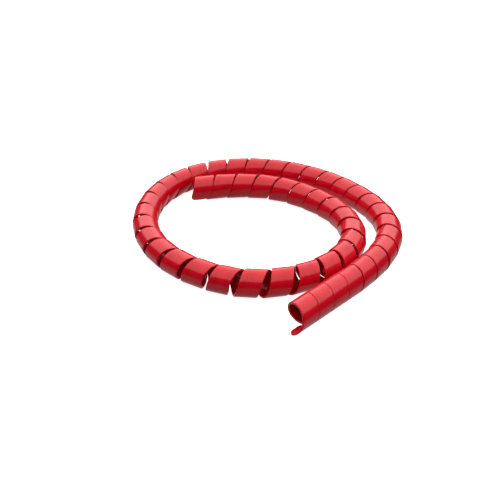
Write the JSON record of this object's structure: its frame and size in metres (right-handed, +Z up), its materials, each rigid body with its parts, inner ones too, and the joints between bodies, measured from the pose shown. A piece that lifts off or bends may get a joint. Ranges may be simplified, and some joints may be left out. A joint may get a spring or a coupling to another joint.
{
  "type": "spiral hose guard",
  "caption": "Empty spiral hose guard: one flat plastic strip wound into a flexible tube that wraps over a hose, lying flat in a loose open spiral with a straight tail.",
  "frame": {"origin": "centre of the bounding box, on the surface that the guard lies on", "axes": "+Z up; +Y along the longer side of the spiral, from the free tail towards the back; the spiral lies flat in XY and runs clockwise, seen from above, from its inner end to its tail"},
  "size_m": [0.3258, 0.3942, 0.0317],
  "materials": {
    "guard_plastic": "semi-gloss moulded"
  },
  "bodies": {
    "inner_end_turn": {"inner_end_turn": "guard_plastic"},
    "turn_02": {"turn_02": "guard_plastic"},
    "turn_03": {"turn_03": "guard_plastic"},
    "turn_04": {"turn_04": "guard_plastic"},
    "turn_05": {"turn_05": "guard_plastic"},
    "turn_06": {"turn_06": "guard_plastic"},
    "turn_07": {"turn_07": "guard_plastic"},
    "turn_08": {"turn_08": "guard_plastic"},
    "turn_09": {"turn_09": "guard_plastic"},
    "turn_10": {"turn_10": "guard_plastic"},
    "turn_11": {"turn_11": "guard_plastic"},
    "turn_12": {"turn_12": "guard_plastic"},
    "turn_13": {"turn_13": "guard_plastic"},
    "turn_14": {"turn_14": "guard_plastic"},
    "turn_15": {"turn_15": "guard_plastic"},
    "turn_16": {"turn_16": "guard_plastic"},
    "turn_17": {"turn_17": "guard_plastic"},
    "turn_18": {"turn_18": "guard_plastic"},
    "turn_19": {"turn_19": "guard_plastic"},
    "turn_20": {"turn_20": "guard_plastic"},
    "turn_21": {"turn_21": "guard_plastic"},
    "turn_22": {"turn_22": "guard_plastic"},
    "turn_23": {"turn_23": "guard_plastic"},
    "turn_24": {"turn_24": "guard_plastic"},
    "turn_25": {"turn_25": "guard_plastic"},
    "turn_26": {"turn_26": "guard_plastic"},
    "turn_27": {"turn_27": "guard_plastic"},
    "turn_28": {"turn_28": "guard_plastic"},
    "turn_29": {"turn_29": "guard_plastic"},
    "turn_30": {"turn_30": "guard_plastic"},
    "turn_31": {"turn_31": "guard_plastic"},
    "turn_32": {"turn_32": "guard_plastic"},
    "turn_33": {"turn_33": "guard_plastic"},
    "turn_34": {"turn_34": "guard_plastic"},
    "turn_35": {"turn_35": "guard_plastic"},
    "turn_36": {"turn_36": "guard_plastic"},
    "turn_37": {"turn_37": "guard_plastic"},
    "turn_38": {"turn_38": "guard_plastic"},
    "turn_39": {"turn_39": "guard_plastic"},
    "turn_40": {"turn_40": "guard_plastic"},
    "turn_41": {"turn_41": "guard_plastic"},
    "turn_42": {"turn_42": "guard_plastic"},
    "turn_43": {"turn_43": "guard_plastic"},
    "turn_44": {"turn_44": "guard_plastic"},
    "turn_45": {"turn_45": "guard_plastic"},
    "turn_46": {"turn_46": "guard_plastic"},
    "turn_47": {"turn_47": "guard_plastic"},
    "tail_end_turn": {"tail_end_turn": "guard_plastic"}
  },
  "joints": [
    {"name": "inner_end_curl", "type": "hinge", "parent": "turn_02", "child": "inner_end_turn", "pos_m": [-0.05601, 0.11286, 0.01584], "axis": [0, 0, -1], "range_deg": [-14, 0], "stiffness_Nm_per_rad": 0.9},
    {"name": "hinge_02_03", "type": "hinge", "parent": "turn_03", "child": "turn_02", "pos_m": [-0.03047, 0.11464, 0.01584], "axis": [0, 0, -1], "range_deg": [-14, 0], "stiffness_Nm_per_rad": 0.9},
    {"name": "hinge_03_04", "type": "hinge", "parent": "turn_04", "child": "turn_03", "pos_m": [-0.00499, 0.11219, 0.01584], "axis": [0, 0, -1], "range_deg": [0, 15], "stiffness_Nm_per_rad": 0.9},
    {"name": "hinge_04_05", "type": "hinge", "parent": "turn_05", "child": "turn_04", "pos_m": [0.01899, 0.10322, 0.01584], "axis": [0, 0, -1], "range_deg": [0, 15], "stiffness_Nm_per_rad": 0.9},
    {"name": "hinge_05_06", "type": "hinge", "parent": "turn_06", "child": "turn_05", "pos_m": [0.03983, 0.08836, 0.01584], "axis": [0, 0, -1], "range_deg": [0, 9], "stiffness_Nm_per_rad": 0.9},
    {"name": "hinge_06_07", "type": "hinge", "parent": "turn_07", "child": "turn_06", "pos_m": [0.05809, 0.07041, 0.01584], "axis": [0, 0, -1], "range_deg": [0, 9], "stiffness_Nm_per_rad": 0.9},
    {"name": "hinge_07_08", "type": "hinge", "parent": "turn_08", "child": "turn_07", "pos_m": [0.07332, 0.04983, 0.01584], "axis": [0, 0, -1], "range_deg": [0, 13], "stiffness_Nm_per_rad": 0.9},
    {"name": "hinge_08_09", "type": "hinge", "parent": "turn_09", "child": "turn_08", "pos_m": [0.08353, 0.02636, 0.01584], "axis": [0, 0, -1], "range_deg": [0, 13], "stiffness_Nm_per_rad": 0.9},
    {"name": "hinge_09_10", "type": "hinge", "parent": "turn_10", "child": "turn_09", "pos_m": [0.08819, 0.00119, 0.01584], "axis": [0, 0, -1], "range_deg": [0, 17], "stiffness_Nm_per_rad": 0.9},
    {"name": "hinge_10_11", "type": "hinge", "parent": "turn_11", "child": "turn_10", "pos_m": [0.08529, -0.02425, 0.01584], "axis": [0, 0, -1], "range_deg": [0, 17], "stiffness_Nm_per_rad": 0.9},
    {"name": "hinge_11_12", "type": "hinge", "parent": "turn_12", "child": "turn_11", "pos_m": [0.07509, -0.04773, 0.01584], "axis": [0, 0, -1], "range_deg": [0, 12.5], "stiffness_Nm_per_rad": 0.9},
    {"name": "hinge_12_13", "type": "hinge", "parent": "turn_13", "child": "turn_12", "pos_m": [0.06004, -0.06844, 0.01584], "axis": [0, 0, -1], "range_deg": [0, 12.5], "stiffness_Nm_per_rad": 0.9},
    {"name": "hinge_13_14", "type": "hinge", "parent": "turn_14", "child": "turn_13", "pos_m": [0.04087, -0.0854, 0.01584], "axis": [0, 0, -1], "range_deg": [0, 15], "stiffness_Nm_per_rad": 0.9},
    {"name": "hinge_14_15", "type": "hinge", "parent": "turn_15", "child": "turn_14", "pos_m": [0.01796, -0.09682, 0.01584], "axis": [0, 0, -1], "range_deg": [0, 15], "stiffness_Nm_per_rad": 0.9},
    {"name": "hinge_15_16", "type": "hinge", "parent": "turn_16", "child": "turn_15", "pos_m": [-0.00713, -0.10193, 0.01584], "axis": [0, 0, -1], "range_deg": [0, 17], "stiffness_Nm_per_rad": 0.9},
    {"name": "hinge_16_17", "type": "hinge", "parent": "turn_17", "child": "turn_16", "pos_m": [-0.03261, -0.09947, 0.01584], "axis": [0, 0, -1], "range_deg": [0, 17], "stiffness_Nm_per_rad": 0.9},
    {"name": "hinge_17_18", "type": "hinge", "parent": "turn_18", "child": "turn_17", "pos_m": [-0.05626, -0.08968, 0.01584], "axis": [0, 0, -1], "range_deg": [0, 11.5], "stiffness_Nm_per_rad": 0.9},
    {"name": "hinge_18_19", "type": "hinge", "parent": "turn_19", "child": "turn_18", "pos_m": [-0.07981, -0.07379, 0.01584], "axis": [0, 0, -1], "range_deg": [0, 11.5], "stiffness_Nm_per_rad": 0.9},
    {"name": "hinge_19_20", "type": "hinge", "parent": "turn_20", "child": "turn_19", "pos_m": [-0.09971, -0.05354, 0.01584], "axis": [0, 0, -1], "range_deg": [0, 11], "stiffness_Nm_per_rad": 0.9},
    {"name": "hinge_20_21", "type": "hinge", "parent": "turn_21", "child": "turn_20", "pos_m": [-0.11539, -0.02986, 0.01584], "axis": [0, 0, -1], "range_deg": [0, 11], "stiffness_Nm_per_rad": 0.9},
    {"name": "hinge_21_22", "type": "hinge", "parent": "turn_22", "child": "turn_21", "pos_m": [-0.12626, -0.00362, 0.01584], "axis": [0, 0, -1], "range_deg": [0, 11], "stiffness_Nm_per_rad": 0.9},
    {"name": "hinge_22_23", "type": "hinge", "parent": "turn_22", "child": "turn_23", "pos_m": [-0.13192, 0.02421, 0.01584], "axis": [0, 0, 1], "range_deg": [0, 11], "stiffness_Nm_per_rad": 0.9},
    {"name": "hinge_23_24", "type": "hinge", "parent": "turn_23", "child": "turn_24", "pos_m": [-0.13217, 0.05261, 0.01584], "axis": [0, 0, 1], "range_deg": [0, 10.5], "stiffness_Nm_per_rad": 0.9},
    {"name": "hinge_24_25", "type": "hinge", "parent": "turn_24", "child": "turn_25", "pos_m": [-0.12724, 0.08058, 0.01584], "axis": [0, 0, 1], "range_deg": [0, 10.5], "stiffness_Nm_per_rad": 0.9},
    {"name": "hinge_25_26", "type": "hinge", "parent": "turn_25", "child": "turn_26", "pos_m": [-0.11827, 0.10456, 0.01584], "axis": [0, 0, 1], "range_deg": [0, 12], "stiffness_Nm_per_rad": 0.9},
    {"name": "hinge_26_27", "type": "hinge", "parent": "turn_26", "child": "turn_27", "pos_m": [-0.10452, 0.12615, 0.01584], "axis": [0, 0, 1], "range_deg": [0, 12], "stiffness_Nm_per_rad": 0.9},
    {"name": "hinge_27_28", "type": "hinge", "parent": "turn_27", "child": "turn_28", "pos_m": [-0.08657, 0.14441, 0.01584], "axis": [0, 0, 1], "range_deg": [0, 14.5], "stiffness_Nm_per_rad": 0.9},
    {"name": "hinge_28_29", "type": "hinge", "parent": "turn_28", "child": "turn_29", "pos_m": [-0.06463, 0.15759, 0.01584], "axis": [0, 0, 1], "range_deg": [0, 14.5], "stiffness_Nm_per_rad": 0.9},
    {"name": "hinge_29_30", "type": "hinge", "parent": "turn_29", "child": "turn_30", "pos_m": [-0.04008, 0.16486, 0.01584], "axis": [0, 0, 1], "range_deg": [0, 13], "stiffness_Nm_per_rad": 0.9},
    {"name": "uncoil", "type": "hinge", "parent": "turn_30", "child": "turn_31", "pos_m": [-0.01453, 0.16643, 0.01584], "axis": [0, 0, 1], "range_deg": [0, 13], "stiffness_Nm_per_rad": 0.9},
    {"name": "hinge_31_32", "type": "hinge", "parent": "turn_31", "child": "turn_32", "pos_m": [0.01072, 0.1622, 0.01584], "axis": [0, 0, 1], "range_deg": [0, 10.5], "stiffness_Nm_per_rad": 0.9},
    {"name": "hinge_32_33", "type": "hinge", "parent": "turn_32", "child": "turn_33", "pos_m": [0.03477, 0.15345, 0.01584], "axis": [0, 0, 1], "range_deg": [0, 10.5], "stiffness_Nm_per_rad": 0.9},
    {"name": "hinge_33_34", "type": "hinge", "parent": "turn_33", "child": "turn_34", "pos_m": [0.05683, 0.14045, 0.01584], "axis": [0, 0, 1], "range_deg": [0, 8.5], "stiffness_Nm_per_rad": 0.9},
    {"name": "hinge_34_35", "type": "hinge", "parent": "turn_34", "child": "turn_35", "pos_m": [0.07673, 0.12434, 0.01584], "axis": [0, 0, 1], "range_deg": [0, 8.5], "stiffness_Nm_per_rad": 0.9},
    {"name": "hinge_35_36", "type": "hinge", "parent": "turn_35", "child": "turn_36", "pos_m": [0.09402, 0.10547, 0.01584], "axis": [0, 0, 1], "range_deg": [0, 7], "stiffness_Nm_per_rad": 0.9},
    {"name": "hinge_36_37", "type": "hinge", "parent": "turn_36", "child": "turn_37", "pos_m": [0.10889, 0.08463, 0.01584], "axis": [0, 0, 1], "range_deg": [0, 7], "stiffness_Nm_per_rad": 0.9},
    {"name": "hinge_37_38", "type": "hinge", "parent": "turn_37", "child": "turn_38", "pos_m": [0.1211, 0.06213, 0.01584], "axis": [0, 0, 1], "range_deg": [0, 10.5], "stiffness_Nm_per_rad": 0.9},
    {"name": "tail_straighten", "type": "hinge", "parent": "turn_38", "child": "turn_39", "pos_m": [0.12901, 0.03778, 0.01584], "axis": [0, 0, 1], "range_deg": [0, 10.5], "stiffness_Nm_per_rad": 0.9},
    {"name": "hinge_39_40", "type": "hinge", "parent": "turn_39", "child": "turn_40", "pos_m": [0.13236, 0.0124, 0.01584], "axis": [0, 0, 1], "range_deg": [0, 13.5], "stiffness_Nm_per_rad": 0.9},
    {"name": "hinge_40_41", "type": "hinge", "parent": "turn_40", "child": "turn_41", "pos_m": [0.12968, -0.01306, 0.01584], "axis": [0, 0, 1], "range_deg": [0, 13.5], "stiffness_Nm_per_rad": 0.9},
    {"name": "hinge_41_42", "type": "hinge", "parent": "turn_41", "child": "turn_42", "pos_m": [0.12113, -0.03719, 0.01584], "axis": [0, 0, 1], "range_deg": [0, 8], "stiffness_Nm_per_rad": 0.9},
    {"name": "hinge_42_43", "type": "hinge", "parent": "turn_42", "child": "turn_43", "pos_m": [0.10931, -0.0599, 0.01584], "axis": [0, 0, 1], "range_deg": [0, 8], "stiffness_Nm_per_rad": 0.9},
    {"name": "hinge_43_44", "type": "hinge", "parent": "turn_43", "child": "turn_44", "pos_m": [0.09445, -0.08074, 0.01584], "axis": [0, 0, 1], "range_deg": [0, 3.5], "stiffness_Nm_per_rad": 0.9},
    {"name": "tail_end_curl", "type": "hinge", "parent": "turn_44", "child": "turn_45", "pos_m": [0.07834, -0.10063, 0.01584], "axis": [0, 0, 1], "range_deg": [-8, 0], "stiffness_Nm_per_rad": 0.9},
    {"name": "hinge_45_46", "type": "hinge", "parent": "turn_45", "child": "turn_46", "pos_m": [0.06104, -0.11951, 0.01584], "axis": [0, 0, 1], "range_deg": [-8, 0], "stiffness_Nm_per_rad": 0.9},
    {"name": "hinge_46_47", "type": "hinge", "parent": "turn_46", "child": "turn_47", "pos_m": [0.04375, -0.13838, 0.01584], "axis": [0, 0, 1], "range_deg": [-8, 0], "stiffness_Nm_per_rad": 0.9},
    {"name": "hinge_47_48", "type": "hinge", "parent": "turn_47", "child": "tail_end_turn", "pos_m": [0.02645, -0.15726, 0.01584], "axis": [0, 0, 1], "range_deg": [-8, 0], "stiffness_Nm_per_rad": 0.9}
  ],
  "couplings": [
    {"joint": "hinge_02_03", "follows": "inner_end_curl", "ratio": 1},
    {"joint": "hinge_03_04", "follows": "uncoil", "ratio": 1.1538},
    {"joint": "hinge_04_05", "follows": "uncoil", "ratio": 1.1538},
    {"joint": "hinge_05_06", "follows": "uncoil", "ratio": 0.69231},
    {"joint": "hinge_06_07", "follows": "uncoil", "ratio": 0.69231},
    {"joint": "hinge_07_08", "follows": "uncoil", "ratio": 1},
    {"joint": "hinge_08_09", "follows": "uncoil", "ratio": 1},
    {"joint": "hinge_09_10", "follows": "uncoil", "ratio": 1.3077},
    {"joint": "hinge_10_11", "follows": "uncoil", "ratio": 1.3077},
    {"joint": "hinge_11_12", "follows": "uncoil", "ratio": 0.96154},
    {"joint": "hinge_12_13", "follows": "uncoil", "ratio": 0.96154},
    {"joint": "hinge_13_14", "follows": "uncoil", "ratio": 1.1538},
    {"joint": "hinge_14_15", "follows": "uncoil", "ratio": 1.1538},
    {"joint": "hinge_15_16", "follows": "uncoil", "ratio": 1.3077},
    {"joint": "hinge_16_17", "follows": "uncoil", "ratio": 1.3077},
    {"joint": "hinge_17_18", "follows": "uncoil", "ratio": 0.88462},
    {"joint": "hinge_18_19", "follows": "uncoil", "ratio": 0.88462},
    {"joint": "hinge_19_20", "follows": "uncoil", "ratio": 0.84615},
    {"joint": "hinge_20_21", "follows": "uncoil", "ratio": 0.84615},
    {"joint": "hinge_21_22", "follows": "uncoil", "ratio": 0.84615},
    {"joint": "hinge_22_23", "follows": "uncoil", "ratio": 0.84615},
    {"joint": "hinge_23_24", "follows": "uncoil", "ratio": 0.80769},
    {"joint": "hinge_24_25", "follows": "uncoil", "ratio": 0.80769},
    {"joint": "hinge_25_26", "follows": "uncoil", "ratio": 0.92308},
    {"joint": "hinge_26_27", "follows": "uncoil", "ratio": 0.92308},
    {"joint": "hinge_27_28", "follows": "uncoil", "ratio": 1.1154},
    {"joint": "hinge_28_29", "follows": "uncoil", "ratio": 1.1154},
    {"joint": "hinge_29_30", "follows": "uncoil", "ratio": 1},
    {"joint": "hinge_31_32", "follows": "uncoil", "ratio": 0.80769},
    {"joint": "hinge_32_33", "follows": "uncoil", "ratio": 0.80769},
    {"joint": "hinge_33_34", "follows": "uncoil", "ratio": 0.65385},
    {"joint": "hinge_34_35", "follows": "uncoil", "ratio": 0.65385},
    {"joint": "hinge_35_36", "follows": "uncoil", "ratio": 0.53846},
    {"joint": "hinge_36_37", "follows": "uncoil", "ratio": 0.53846},
    {"joint": "hinge_37_38", "follows": "uncoil", "ratio": 0.80769},
    {"joint": "hinge_39_40", "follows": "tail_straighten", "ratio": 1.2857},
    {"joint": "hinge_40_41", "follows": "tail_straighten", "ratio": 1.2857},
    {"joint": "hinge_41_42", "follows": "tail_straighten", "ratio": 0.7619},
    {"joint": "hinge_42_43", "follows": "tail_straighten", "ratio": 0.7619},
    {"joint": "hinge_43_44", "follows": "tail_straighten", "ratio": 0.33333},
    {"joint": "hinge_45_46", "follows": "tail_end_curl", "ratio": 1},
    {"joint": "hinge_46_47", "follows": "tail_end_curl", "ratio": 1},
    {"joint": "hinge_47_48", "follows": "tail_end_curl", "ratio": 1}
  ]
}
